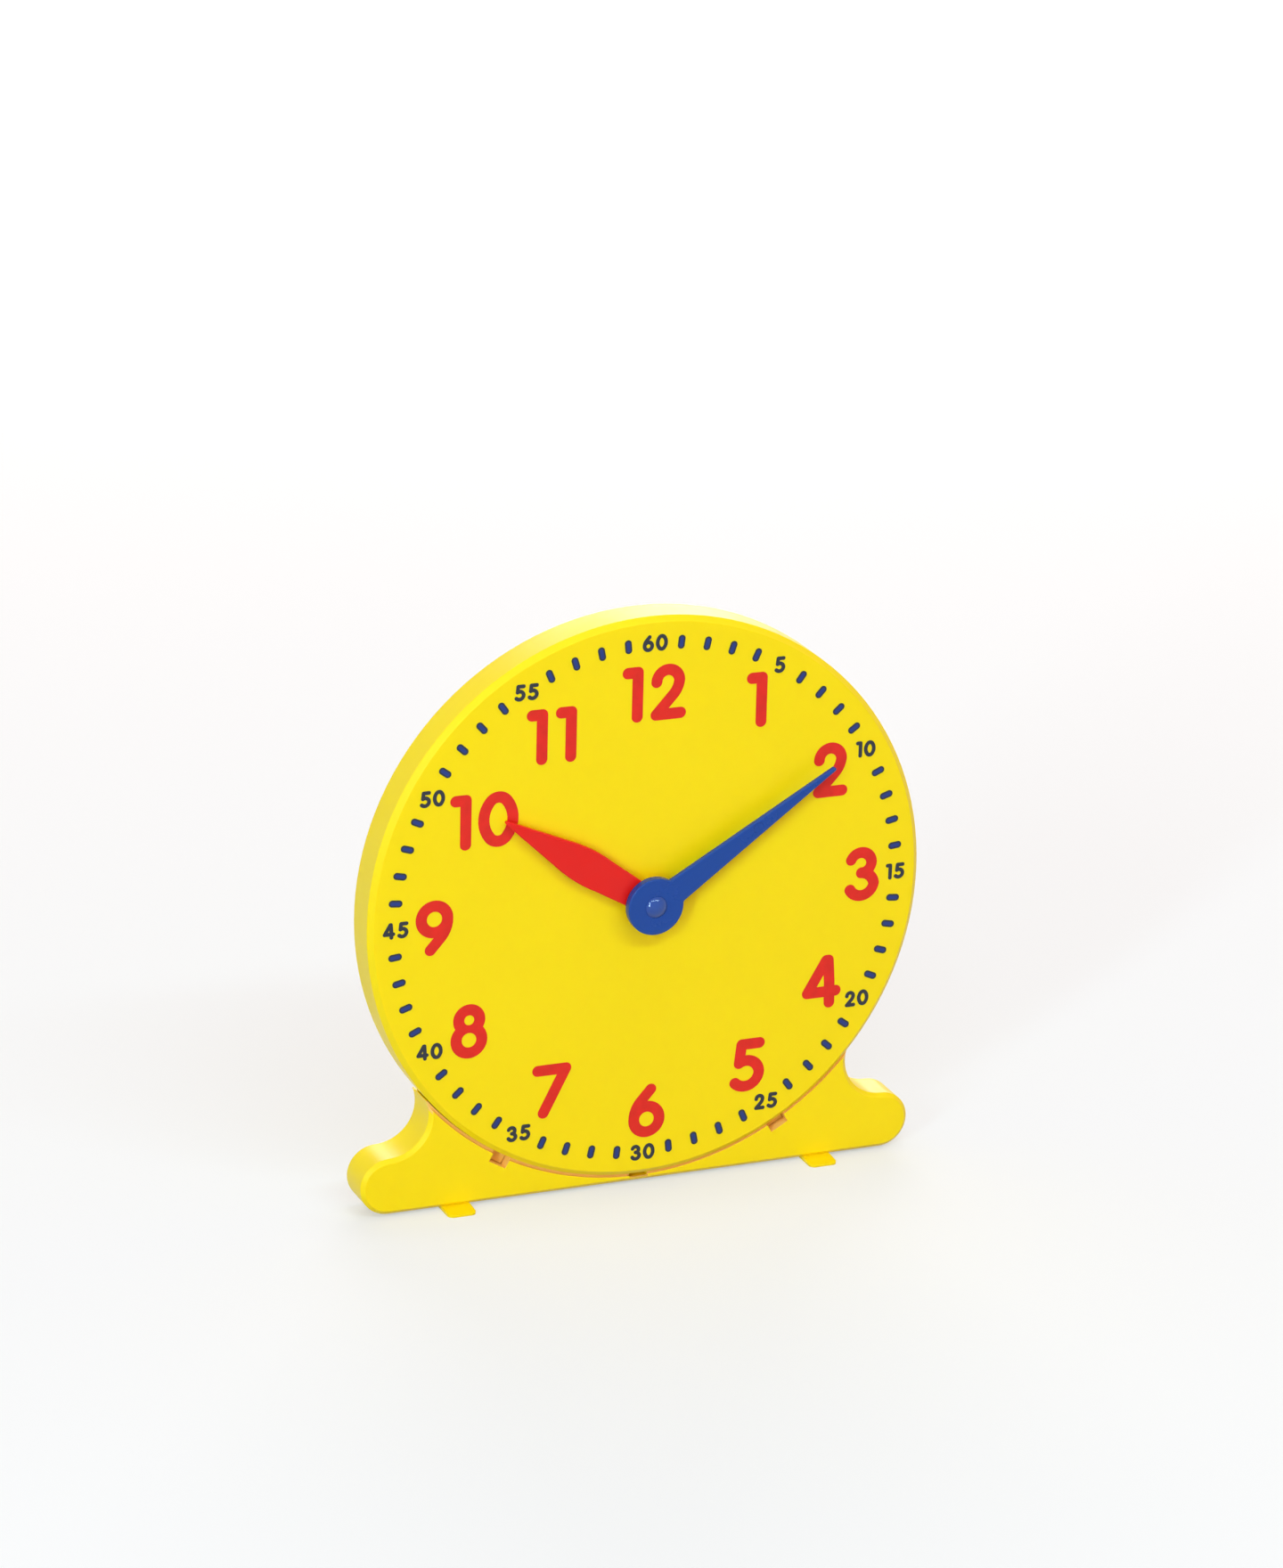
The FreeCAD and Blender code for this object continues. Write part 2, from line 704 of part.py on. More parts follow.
def stand_base():
    """The stand's shell, open behind, with the round seat for the head and the sockets for the feet."""
    inside = stand_setback + stand_plate
    seat_wall_radius = stand_seat_radius + stand_wall
    hollow = stand_outline(stand_wall, inside, stand_back + overrun)
    hollow = hollow.cut(barrel(seat_wall_radius, stand_setback, stand_back + 2 * overrun))
    filled = []
    cuts = []
    tab_back = tab_setback + tab_thickness + seat_gap
    for angle, reach in tab_reaches():
        filled.append(turned(tab_pocket(reach, tab_pocket_wall, inside, tab_back + tab_pocket_wall), angle))
        cuts.append(turned(tab_pocket(reach, 0, stand_setback - overrun, tab_back), angle))
    slot_width = web_thickness + 2 * pressed_gap
    slot_low = stand_low - overrun
    slot_top = stand_low + web_height + pressed_gap
    socket_width = slot_width + 2 * socket_wall
    for side in (-1, 1):
        place = side * foot_place
        rib_back = inside + stand_rib_depth
        filled.append(block(stand_rib_width, inside, rib_back, stand_low, 0, side * stand_rib_place))
        filled.append(block(socket_width, inside, stand_back, stand_low, slot_top + socket_wall, place))
        cuts.append(block(slot_width, inside + socket_wall, stand_back + overrun, slot_low, slot_top, place))
    body = joined(stand_body().cut(hollow), [piece.common(hollow) for piece in filled])

    cuts.append(barrel(stand_seat_radius, stand_setback - overrun, stand_back + overrun))
    cuts.append(barrel(dial_radius + groove_width, stand_setback - overrun, stand_setback + groove_depth))
    lip_outer = stand_seat_radius + stand_wall / 2
    lip = tube(lip_outer, dial_radius - lip_width, lip_front, lip_front + lip_thickness)
    body = joined(body.cut(cuts), [lip])
    width = 2 * (seat_wall_radius + neck_radius + toe_radius)
    horn_top = neck_height + horn_rise
    return body.cut(block(width, stand_setback - overrun, stand_back + overrun, horn_top, seat_wall_radius))


# The feet
def rounded_skid(front, back, low):
    """A flat bar with round corners, seen from above."""
    half = skid_width / 2
    bow = skid_corner * (1 - DIAGONAL_SHARE)
    start = at(-half, front + skid_corner, low)
    steps = [
        [at(-half, back - skid_corner, low)],
        [at(bow - half, back - bow, low), at(skid_corner - half, back, low)],
        [at(half - skid_corner, back, low)],
        [at(half - bow, back - bow, low), at(half, back - skid_corner, low)],
        [at(half, front + skid_corner, low)],
        [at(half - bow, front + bow, low), at(half - skid_corner, front, low)],
        [at(skid_corner - half, front, low)],
        [at(bow - half, front + bow, low), start],
    ]
    return outlined(start, steps).extrude(UP * skid_thickness)


def skid_foot(side):
    """A foot: a flat skid that shows in front of the stand, with an upright web that plugs in from below."""
    toe = stand_setback - toe_reach
    low = stand_low - skid_thickness
    skid = rounded_skid(toe, tail_reach, low)
    wedge_left = -skid_width / 2 - overrun
    tip_up = low + toe_tip
    front = toe - overrun
    wedge_corners = ((front, stand_low), (stand_setback, stand_low), (toe, tip_up), (front, tip_up))
    wedge_points = [at(wedge_left, depth, up) for depth, up in wedge_corners]
    wedge = Part.Face(Part.makePolygon(wedge_points + wedge_points[:1]))
    skid = skid.cut(wedge.extrude(at(skid_width + 2 * overrun, 0, 0)))

    left = -web_thickness / 2
    top = stand_low + web_height
    tail = tail_reach - web_tail_inset
    tail_top = stand_low + web_tail_height
    web_front = stand_setback + stand_plate + socket_wall + web_head_gap
    start = at(left, web_front, stand_low)
    sag = at(left, (stand_back + tail) / 2 - web_sag, (top + tail_top) / 2 - web_sag)
    web = outlined(start, [
        [at(left, web_front, top)],
        [at(left, stand_back, top)],
        [sag, at(left, tail, tail_top)],
        [at(left, tail, stand_low)],
        [start],
    ]).extrude(at(web_thickness, 0, 0))
    foot = joined(skid, [web])
    foot.translate(at(side * foot_place, 0, 0))
    return foot


def foot_left():
    return skid_foot(-1)


def foot_right():
    return skid_foot(1)


PIECES = (
    dial_shell, back_cover, cover_screws, gear_plate, plate_screws, hour_wheel, hour_hand, minute_arbor,
    minute_hand, hand_screw, hand_cap, lay_gear, lay_axle, friction_spring, stand_base, foot_left, foot_right,
)


def main():
    os.makedirs("parts", exist_ok=True)
    for make in PIECES:
        shape = make()
        shape.translate(at(0, dial_y, dial_z))
        solids = shape.Solids
        result = solids[0] if len(solids) == 1 else Part.makeCompound(solids)
        result.exportStep(os.path.join("parts", make.__name__ + ".step"))
        print(f"{make.__name__}: {len(solids)} solid(s), {result.Volume:.0f} mm3, valid {result.isValid()}")


main()
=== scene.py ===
# %% [markdown]
# # Dressing a geared teaching clock
# The clock is a yellow moulded head on a stand. A red hour hand and a blue minute hand turn in
# front of it, geared together. All its solid pieces come from a fixed frame, at their real size.
# This lesson gives them their finish and adds what is printed on the dial. Lengths are written in
# millimetres and turned into metres with MM.

# %% Load the frame
import bmesh
import bpy
import math
from mathutils import Matrix, Vector
from mathutils.geometry import delaunay_2d_cdt


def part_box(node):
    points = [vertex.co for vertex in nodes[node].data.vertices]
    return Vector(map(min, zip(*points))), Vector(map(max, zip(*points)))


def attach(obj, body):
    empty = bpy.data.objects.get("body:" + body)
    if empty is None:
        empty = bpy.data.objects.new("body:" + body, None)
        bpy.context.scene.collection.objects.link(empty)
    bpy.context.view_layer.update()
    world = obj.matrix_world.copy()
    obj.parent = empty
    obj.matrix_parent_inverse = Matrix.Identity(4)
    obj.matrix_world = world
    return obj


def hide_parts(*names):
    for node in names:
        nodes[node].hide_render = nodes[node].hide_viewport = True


MM = 0.001
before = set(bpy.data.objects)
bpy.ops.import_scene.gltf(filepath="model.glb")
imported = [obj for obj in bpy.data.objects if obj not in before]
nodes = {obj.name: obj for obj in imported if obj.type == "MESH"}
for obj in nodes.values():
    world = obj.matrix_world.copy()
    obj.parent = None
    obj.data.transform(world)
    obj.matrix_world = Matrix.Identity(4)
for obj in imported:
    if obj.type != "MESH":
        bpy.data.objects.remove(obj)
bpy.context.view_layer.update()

# %% [markdown]
# Everything on the dial is placed from the axis of the hands, so the lesson first measures where
# that axis is. The button over the hands is round about it. The flat front of the dial is the
# foremost part of the dial's moulding, once the small boss round the axis is left out.

# %% Find the axis of the hands and the front of the dial
beyond_boss = 20 * MM
button_low, button_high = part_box("hand_cap")
axis_height = (button_low.z + button_high.z) / 2
dial_front = min(
    vertex.co.y for vertex in nodes["dial_shell"].data.vertices
    if math.hypot(vertex.co.x, vertex.co.z - axis_height) > beyond_boss)


def on_dial(across, up, proud=0.0):
    """A place on the dial, measured from the axis, standing proud of its front."""
    return Vector((across, dial_front - proud, axis_height + up))


print("axis", round(axis_height / MM, 2), "mm up")
print("dial front at", round(dial_front / MM, 2), "mm")

# %% [markdown]
# The camera stands where the photographer did: to the left of the clock, above it, and far back
# with a long lens, so the round dial looks narrower than it is high. It aims at a point a little
# above the axis and is tilted a degree or so. A camera looks along its own -Z with its own +Y up,
# which is what to_track_quat turns it to.

# %% Set the camera
camera_place = on_dial(-839.03 * MM, 807.88 * MM, 2006.49 * MM)
camera_aim = on_dial(-4.4 * MM, 50.37 * MM)
camera_roll = math.radians(1.407)
camera_lens = 131.81        # the lens in millimetres, for a picture that is 36 mm high
picture_height = 36

camera_data = bpy.data.cameras.new("camera")
camera_data.lens = camera_lens
camera_data.sensor_fit = "VERTICAL"
camera_data.sensor_height = picture_height
camera = bpy.data.objects.new("camera", camera_data)
looking = (camera_aim - camera_place).to_track_quat("-Z", "Y").to_matrix().to_4x4()
rolled = looking @ Matrix.Rotation(camera_roll, 4, "Z")
camera.matrix_world = Matrix.Translation(camera_place) @ rolled
bpy.context.scene.collection.objects.link(camera)
bpy.context.scene.camera = camera
print("camera", round((camera_aim - camera_place).length, 3), "m from its aim")

# %% [markdown]
# The clock is lit like a product on a white table. A tall soft box at the left and a wide one above
# leave two bright arcs on the button, and soft shadows below the hands and to their right. They are
# cool, and the sky in front of the clock, which comes last, is warm. Together they are plain white
# on the dial, and the shadows turn orange. One box behind lights the back, and a weak one straight
# above gives the stand its soft shadow on the table.

# %% Set the lights
cool = (0.62, 0.91, 1.0)
plain = (1.0, 0.98, 0.95)
lamp_distance = 3.2         # metres from the hub
hub = on_dial(0, 0)
soft_boxes = {              # direction from the hub, width and height in metres, watts, colour
    "left_box": ((-0.72, -0.66, 0.22), 0.25, 2.0, 50, cool),
    "top_box": ((0.0, -0.7, 0.7), 3.4, 0.2, 46, cool),
    "back_box": ((0.35, 0.9, 0.3), 2.0, 1.0, 44, plain),
    "overhead_box": ((0.05, 0.08, 1.0), 1.0, 0.3, 12, plain),
}


def soft_box(name, direction, width, height, power, colour):
    """A rectangular area light that points at the hub from a direction."""
    data = bpy.data.lights.new(name, "AREA")
    data.shape = "RECTANGLE"
    data.size = width
    data.size_y = height
    data.energy = power
    data.color = colour
    lamp = bpy.data.objects.new(name, data)
    away = Vector(direction).normalized()
    turned = (-away).to_track_quat("-Z", "Y").to_matrix().to_4x4()
    lamp.matrix_world = Matrix.Translation(hub + away * lamp_distance) @ turned
    bpy.context.scene.collection.objects.link(lamp)


for name, settings in soft_boxes.items():
    soft_box(name, *settings)
bpy.context.scene.view_settings.view_transform = "Standard"

# %% [markdown]
# A few helpers keep the materials short. A material is a tree of nodes that ends in one Principled
# shader. What varies over the surface is linked, and what is the same all over is set on the
# shader's own sockets. So each helper takes values that are either another node's output or a
# constant.

# %% Helpers for nodes
MIX_INPUTS = (0, 6, 7)      # a Mix node's sockets for the factor and the two colours
MIX_RESULT = 2


def feed(tree, socket, value):
    """Gives a socket its value: a link to another node's output, or a constant."""
    if isinstance(value, bpy.types.NodeSocket):
        tree.links.new(value, socket)
    else:
        socket.default_value = value


def add_node(tree, kind, properties=None, **inputs):
    """Adds a shader node, sets its properties and feeds its inputs."""
    node = tree.nodes.new("ShaderNode" + kind)
    for name, value in (properties or {}).items():
        setattr(node, name, value)
    for name, value in inputs.items():
        feed(tree, node.inputs[name.replace("_", " ")], value)
    return node


def combined(tree, kind, operation, *values, output=0):
    """What a Math or VectorMath node makes of some values."""
    node = add_node(tree, kind, {"operation": operation})
    for socket, value in zip(node.inputs, values):
        feed(tree, socket, value)
    return node.outputs[output]


def ranged(tree, value, start, end, low=0, high=1):
    """A value carried over from one range to another, and held within it."""
    node = add_node(
        tree, "MapRange", Value=value, From_Min=start, From_Max=end, To_Min=low, To_Max=high)
    return node.outputs["Result"]


def mixed(tree, factor, first, second):
    """A colour between two."""
    node = add_node(tree, "Mix", {"data_type": "RGBA"})
    for number, value in zip(MIX_INPUTS, (factor, first, second)):
        feed(tree, node.inputs[number], value)
    return node.outputs[MIX_RESULT]


def object_place(tree):
    """Where a point lies on the object, so that a texture stays on a piece that turns."""
    return add_node(tree, "TexCoord").outputs["Object"]


# %% [markdown]
# What several materials share is a node group, with named inputs and outputs. Every group here
# gives at least a colour and a roughness, so one function can make a material from any of them.

# %% Helpers for groups and materials
def new_group(name, inputs, outputs):
    """An empty node group, and its inner input and output sockets."""
    tree = bpy.data.node_groups.new(name, "ShaderNodeTree")
    for in_out, sockets in (("INPUT", inputs), ("OUTPUT", outputs)):
        for socket_name, kind in sockets.items():
            tree.interface.new_socket(socket_name, in_out=in_out, socket_type="NodeSocket" + kind)
    given = tree.nodes.new("NodeGroupInput").outputs
    result = tree.nodes.new("NodeGroupOutput").inputs
    return tree, given, result


def use_group(tree, group, **inputs):
    """Places a node group in a material."""
    node = tree.nodes.new("ShaderNodeGroup")
    node.node_tree = group
    for name, value in inputs.items():
        feed(tree, node.inputs[name], value)
    return node


def srgb(red, green, blue):
    """A colour as an eye or a picture gives it, from 0 to 255, made linear for a shader."""
    def linear(value):
        share = value / 255
        return share / 12.92 if share <= 0.04045 else ((share + 0.055) / 1.055) ** 2.4
    return linear(red), linear(green), linear(blue), 1.0


def new_material(name):
    """A material with its tree of nodes and its shader."""
    material = bpy.data.materials.new(name)
    material.use_nodes = True
    tree = material.node_tree
    return material, tree, tree.nodes["Principled BSDF"]


def material_of(name, group, **inputs):
    """A material whose colour and roughness come from a group, with its tree and its nodes."""
    material, tree, shader = new_material(name)
    surface = use_group(tree, group, **inputs)
    tree.links.new(surface.outputs["Colour"], shader.inputs["Base Color"])
    tree.links.new(surface.outputs["Roughness"], shader.inputs["Roughness"])
    return material, tree, shader, surface


def paint(material, *names):
    """Gives pieces of the frame their material."""
    for name in names:
        for slot in nodes[name].material_slots:
            slot.material = material


# %% [markdown]
# Moulded plastic looks plain from far off, but it isn't one colour. The pigment is a little cloudy,
# fingers leave patches that shine less, and the mould's own fine grain is in the surface. All
# plastic pieces share these effects, so they are one node group. It gives a colour, a roughness,
# and a height for the bump.

# %% The surface that all moulded plastic shares
CLOUD_SCALE = 16            # clouds per metre, about 60 mm each
SMUDGE_SCALE = 55
GRAIN_SCALE = 1400
MIDDLE_OF_NOISE = 0.5
SMUDGE_START = 0.45         # where on its noise a smudge begins, and where it is full
SMUDGE_FULL = 0.7

moulded_surface, given, result = new_group(
    "moulded_surface",
    {"Colour": "Color", "Cloud": "Float", "Roughness": "Float", "Smudge": "Float"},
    {"Colour": "Color", "Roughness": "Float", "Height": "Float"})
tree = moulded_surface
place = object_place(tree)
clouds = add_node(tree, "TexNoise", Vector=place, Scale=CLOUD_SCALE, Detail=3).outputs["Fac"]
smudges = add_node(
    tree, "TexNoise", Vector=place, Scale=SMUDGE_SCALE, Detail=5, Roughness=0.6).outputs["Fac"]
grain = add_node(tree, "TexNoise", Vector=place, Scale=GRAIN_SCALE, Detail=2).outputs["Fac"]

cloud_part = combined(tree, "Math", "SUBTRACT", clouds, MIDDLE_OF_NOISE)
cloud_value = combined(tree, "Math", "MULTIPLY_ADD", cloud_part, given["Cloud"], 1)
tinted = add_node(tree, "HueSaturation", Color=given["Colour"], Value=cloud_value)
smudge_part = ranged(tree, smudges, SMUDGE_START, SMUDGE_FULL)
rougher = combined(
    tree, "Math", "MULTIPLY_ADD", smudge_part, given["Smudge"], given["Roughness"])
tree.links.new(tinted.outputs["Color"], result["Colour"])
tree.links.new(rougher, result["Roughness"])
tree.links.new(grain, result["Height"])
print("group moulded_surface:", len(tree.nodes), "nodes")

# %% [markdown]
# The mouldings differ in colour, gloss and how much light goes in. Light enters the yellow plastic
# and comes out again a little away, the red part of it the furthest, which softens the edges of
# shadows. The mouldings' own edges aren't sharp either, so a Bevel node rounds the shading of each
# corner by a fraction of a millimetre. The button gets a polished blue.

# %% The moulded plastics
GRAIN_DEPTH = 0.006 * MM
EDGE_ROUND = 0.35 * MM
EDGE_SAMPLES = 6
hand_blue = srgb(16, 69, 158)
blue_reach = (0.4, 0.6, 1.5)


def moulded_plastic(name, colour, cloud, roughness, smudge, inside, reach, specular):
    """A moulded plastic. A share of the light goes inside, where its red, green and blue each
    have their own reach in millimetres."""
    material, tree, shader, surface = material_of(
        name, moulded_surface, Colour=colour, Cloud=cloud, Roughness=roughness, Smudge=smudge)
    rounded = add_node(tree, "Bevel", {"samples": EDGE_SAMPLES}, Radius=EDGE_ROUND)
    bump = add_node(
        tree, "Bump", Strength=1.0, Distance=GRAIN_DEPTH, Height=surface.outputs["Height"],
        Normal=rounded.outputs["Normal"])
    tree.links.new(bump.outputs["Normal"], shader.inputs["Normal"])
    shader.subsurface_method = "BURLEY"
    shader.inputs["Subsurface Weight"].default_value = inside
    shader.inputs["Subsurface Radius"].default_value = [length * MM for length in reach]
    shader.inputs["Subsurface Scale"].default_value = 1.0
    shader.inputs["Specular IOR Level"].default_value = specular
    return material


yellow_plastic = moulded_plastic(
    "yellow_plastic", srgb(255, 226, 8), cloud=0.05, roughness=0.38, smudge=0.06,
    inside=0.3, reach=(2.5, 1.4, 0.3), specular=0.25)
blue_plastic = moulded_plastic(
    "blue_plastic", hand_blue, cloud=0.08, roughness=0.24, smudge=0.06,
    inside=0.1, reach=blue_reach, specular=0.3)
polished_blue = moulded_plastic(
    "polished_blue", hand_blue, cloud=0.08, roughness=0.07, smudge=0.02,
    inside=0.1, reach=blue_reach, specular=0.55)
red_plastic = moulded_plastic(
    "red_plastic", srgb(232, 26, 20), cloud=0.08, roughness=0.3, smudge=0.08,
    inside=0.2, reach=(3, 0.4, 0.3), specular=0.3)
natural_plastic = moulded_plastic(
    "natural_plastic", srgb(232, 230, 218), cloud=0.05, roughness=0.38, smudge=0.05,
    inside=0.6, reach=(3, 2.6, 2), specular=0.5)

paint(yellow_plastic, "dial_shell", "back_cover", "stand_base", "foot_left", "foot_right")
paint(blue_plastic, "minute_hand", "hand_cap")
paint(red_plastic, "hour_hand")
paint(natural_plastic, "gear_plate", "hour_wheel", "minute_arbor", "lay_gear")
print("plastics: yellow, blue, red and natural")

# %% [markdown]
# In the narrow line round the dial and in the pockets of its tabs, light bounces from wall to wall,
# and each bounce on yellow takes some green away. So sunk places look orange. A renderer follows
# only a few bounces, and shows too little of this. So that light is painted into the yellow: a mask
# finds the line and the pockets, and turns their colour orange: painted bounce light and shade,
# not the plastic's own colour. It reads only where a point is, so it holds in every view.

# %% Measure the sunk places, where bounce light is painted
# The orange of painted bounce light and shade, put into the sunk places
painted_bounce_orange = srgb(255, 205, 110)
cover_low, cover_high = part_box("back_cover")
cover_ledge = 2.3 * MM          # how far the dial reaches beyond the cover
dial_radius = (cover_high.x - cover_low.x) / 2 + cover_ledge
stand_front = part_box("stand_base")[0].y
line_start = 0.05 * MM          # from the dial's edge, which itself stays yellow
line_reach = 2.4 * MM
line_depth = 1.6 * MM           # from the front of the stand
TAB_SIDES = (-1, 0, 1)
tab_turn = math.radians(30)     # from one tab to the next
tab_place = 123 * MM            # from the axis
tab_depth = 7.5 * MM            # from the front of the dial
pocket_reach = 6.3 * MM         # from the middle of a pocket to its walls
pocket_depth = 9.4 * MM         # from the front of the stand
fade = 0.3 * MM                 # over which the colour turns
print("dial radius", round(dial_radius / MM, 2), "mm")
print("stand front at", round(stand_front / MM, 2), "mm")

# %% [markdown]
# The mask is built from steps. Multiplying two steps keeps what lies in both, and the larger of two
# values keeps what lies in either.

# %% Paint bounce light orange into the sunk places
def step_mask(tree, value, start, rising=True):
    """Nothing before the start and all of it soon after, or the other way round."""
    low, high = (0, 1) if rising else (1, 0)
    return ranged(tree, value, start, start + fade, low, high)


# This mask says where the painted bounce light and shade go
painted_bounce_places, _, result = new_group("painted_bounce_places", {}, {"Mask": "Float"})
tree = painted_bounce_places
place = object_place(tree)
flattened = combined(tree, "VectorMath", "MULTIPLY", place, (1, 0, 1))
radius = combined(
    tree, "VectorMath", "DISTANCE", flattened, (0, 0, axis_height), output="Value")
depth = add_node(tree, "SeparateXYZ", Vector=place).outputs["Y"]
sunk = combined(
    tree, "Math", "MULTIPLY",
    step_mask(tree, radius, dial_radius + line_reach, rising=False),
    step_mask(tree, depth, stand_front + line_depth, rising=False))
for side in TAB_SIDES:
    tab = on_dial(
        side * tab_place * math.sin(tab_turn), -tab_place * math.cos(tab_turn), -tab_depth)
    away = combined(tree, "VectorMath", "DISTANCE", place, tab, output="Value")
    pocket = step_mask(tree, away, pocket_reach, rising=False)
    sunk = combined(tree, "Math", "MAXIMUM", sunk, pocket)
for bound in (
        step_mask(tree, radius, dial_radius + line_start),
        step_mask(tree, depth, stand_front),
        step_mask(tree, depth, stand_front + pocket_depth, rising=False)):
    sunk = combined(tree, "Math", "MULTIPLY", sunk, bound)
tree.links.new(sunk, result["Mask"])

# Here the yellow is painted orange, standing in for light that bounces in the sunk places
tree = yellow_plastic.node_tree
yellow_shader = tree.nodes["Principled BSDF"]
plain_yellow = yellow_shader.inputs["Base Color"].links[0].from_socket
painted_bounce_mask = use_group(tree, painted_bounce_places).outputs["Mask"]
painted_bounce_colour = mixed(tree, painted_bounce_mask, plain_yellow, painted_bounce_orange)
tree.links.new(painted_bounce_colour, yellow_shader.inputs["Base Color"])
print("group painted_bounce_places:", len(painted_bounce_places.nodes), "nodes")

# %% [markdown]
# The metal pieces are small: zinc-plated screws, and a ground steel axle with its dished spring.
# Zinc plating is faintly blotched and ground steel is streaked, so both vary in colour and in
# gloss. One group makes the blotches, and its stretch input draws them out into streaks along the
# axle.

# %% The metals
NOISE_LOW = 0.3             # nearly all of a noise lies between these two
NOISE_HIGH = 0.7
METAL_SHADES = (0.86, 1.06)
METAL_DULLING = 0.18


def vary(tree, noise, given, result, shades, dulling):
    """Lets a noise vary the colour and the roughness that a group gives."""
    shade = ranged(tree, noise, NOISE_LOW, NOISE_HIGH, *shades)
    tinted = add_node(tree, "HueSaturation", Color=given["Colour"], Value=shade)
    dulled = combined(tree, "Math", "MULTIPLY_ADD", noise, dulling, given["Roughness"])
    tree.links.new(tinted.outputs["Color"], result["Colour"])
    tree.links.new(dulled, result["Roughness"])


worked_metal, given, result = new_group(
    "worked_metal",
    {"Colour": "Color", "Scale": "Float", "Stretch": "Vector", "Roughness": "Float"},
    {"Colour": "Color", "Roughness": "Float"})
tree = worked_metal
stretched = combined(tree, "VectorMath", "MULTIPLY", object_place(tree), given["Stretch"])
blotches = add_node(
    tree, "TexNoise", Vector=stretched, Scale=given["Scale"], Detail=4).outputs["Fac"]
vary(tree, blotches, given, result, METAL_SHADES, METAL_DULLING)


def metal(name, colour, scale, stretch, roughness):
    """A metal with its blotches, which a stretch below 1 draws out."""
    material, _, shader, _ = material_of(
        name, worked_metal, Colour=colour, Scale=scale, Stretch=stretch, Roughness=roughness)
    shader.inputs["Metallic"].default_value = 1
    return material


zinc_plate = metal(
    "zinc_plate", srgb(202, 205, 210), scale=500, stretch=(1, 1, 1), roughness=0.24)
ground_steel = metal(
    "ground_steel", srgb(196, 196, 198), scale=900, stretch=(1, 0.05, 1), roughness=0.16)
paint(zinc_plate, "cover_screws", "plate_screws", "hand_screw")
paint(ground_steel, "lay_axle", "friction_spring")
print("metals: zinc plate and ground steel")

# %% [markdown]
# The numbers and marks are printed on the dial. Ink is far thinner than plastic and takes no light
# in, and it dries a little uneven. The hour numbers are red, like the hour hand. The minute numbers
# and marks are dark slate, and each mark has a bluer middle.

# %% The printing inks
PATCH_SCALE = 220
INK_SHADES = (0.93, 1.07)
INK_DULLING = 0.1
INK_SPECULAR = 0.3
INK_ROUGHNESS = 0.34

printed_ink, given, result = new_group(
    "printed_ink", {"Colour": "Color", "Roughness": "Float"},
    {"Colour": "Color", "Roughness": "Float"})
tree = printed_ink
patches = add_node(
    tree, "TexNoise", Vector=object_place(tree), Scale=PATCH_SCALE, Detail=4).outputs["Fac"]
vary(tree, patches, given, result, INK_SHADES, INK_DULLING)


def ink(name, colour):
    """A printing ink."""
    material, _, shader, _ = material_of(
        name, printed_ink, Colour=colour, Roughness=INK_ROUGHNESS)
    shader.inputs["Specular IOR Level"].default_value = INK_SPECULAR
    return material


red_ink = ink("red_ink", srgb(228, 40, 30))
slate_ink = ink("slate_ink", srgb(46, 50, 62))
blue_ink = ink("blue_ink", srgb(36, 58, 134))
print("inks: red, slate and blue")


# %% [markdown]
# The numbers are drawn with a round pen, as on the real dial: every line has the same width and
# round ends. Each numeral is a list of strokes, in millimetres from its middle, as large as the
# hour numbers are. A step of a stroke is [end] for a straight line, or [way, end] for an arc
# through a point on the way.

# %% The strokes of the numerals
STROKES_HEIGHT = 18.6       # from the lowest to the highest line of the pen
NUMERALS = {
    "0": [((-3.6, 7.5), [(0, 9.3), (3.6, 7.5)], [(6.2, 0), (3.6, -7.5)],
           [(0, -9.3), (-3.6, -7.5)], [(-6.2, 0), (-3.6, 7.5)])],
    "1": [((-2.2, 9.3), [(2.1, 9.3)], [(2.1, -9.3)])],
    "2": [((-5.2, 4.4), [(-0.3, 9.3), (4.6, 4.6)], [(3.7, 1.2), (1.7, -1.7)], [(-5.2, -9.3)],
           [(5.3, -9.3)])],
    "3": [((-5.2, 6.6), [(0.3, 9.3), (3.9, 5)], [(2.6, 1.8), (-0.5, 0.6)],
           [(3.6, -1.2), (5.2, -4.4)], [(0, -9.3), (-5.4, -6.4)])],
    "4": [((3.6, -9.3), [(3.4, 0)], [(2.7, 9.3)], [(1.7, 9.3)], [(-6.3, -4.4)],
           [(6.3, -4.4)])],
    "5": [((5.2, 9.3), [(-2.7, 9.3)], [(-3.6, 1.1)], [(1, 1.9), (5.3, -3.4)],
           [(-0.2, -9.2), (-5.3, -7.4)])],
    "7": [((-6.1, 9.3), [(6.1, 9.3)], [(-3.4, -9.3)])],
    "8": [((0, 9.3), [(4.5, 4.8), (0, 0.3)], [(-4.5, 4.8), (0, 9.3)]),
          ((0, 1.7), [(5.5, -3.8), (0, -9.3)], [(-5.5, -3.8), (0, 1.7)])],
    "9": [((5.6, 3.7), [(0, 9.3), (-5.6, 3.7)], [(0, -1.9), (5.6, 3.7)],
           [(4.9, -0.7), (2.9, -4.2)], [(-1.6, -9.3)])],
}
HALF_WIDTHS = {                     # of the pen's middle line
    "0": 5.7, "1": 2.15, "2": 5.25, "3": 5.3, "4": 6.3, "5": 5.3, "6": 5.6, "7": 6.1, "8": 5.5,
    "9": 5.6,
}
COUNTERS = {"8": [((0, 4.8), 4.5), ((0, -3.8), 5.5)]}      # rooms that stay open: middle, radius


def half_turned(stroke):
    """The same stroke with the numeral standing on its head."""
    start, *steps = stroke
    return (-start[0], -start[1]), *[[(-across, -up) for across, up in step] for step in steps]


NUMERALS["6"] = [half_turned(stroke) for stroke in NUMERALS["9"]]
print("numerals:", "".join(sorted(NUMERALS)))

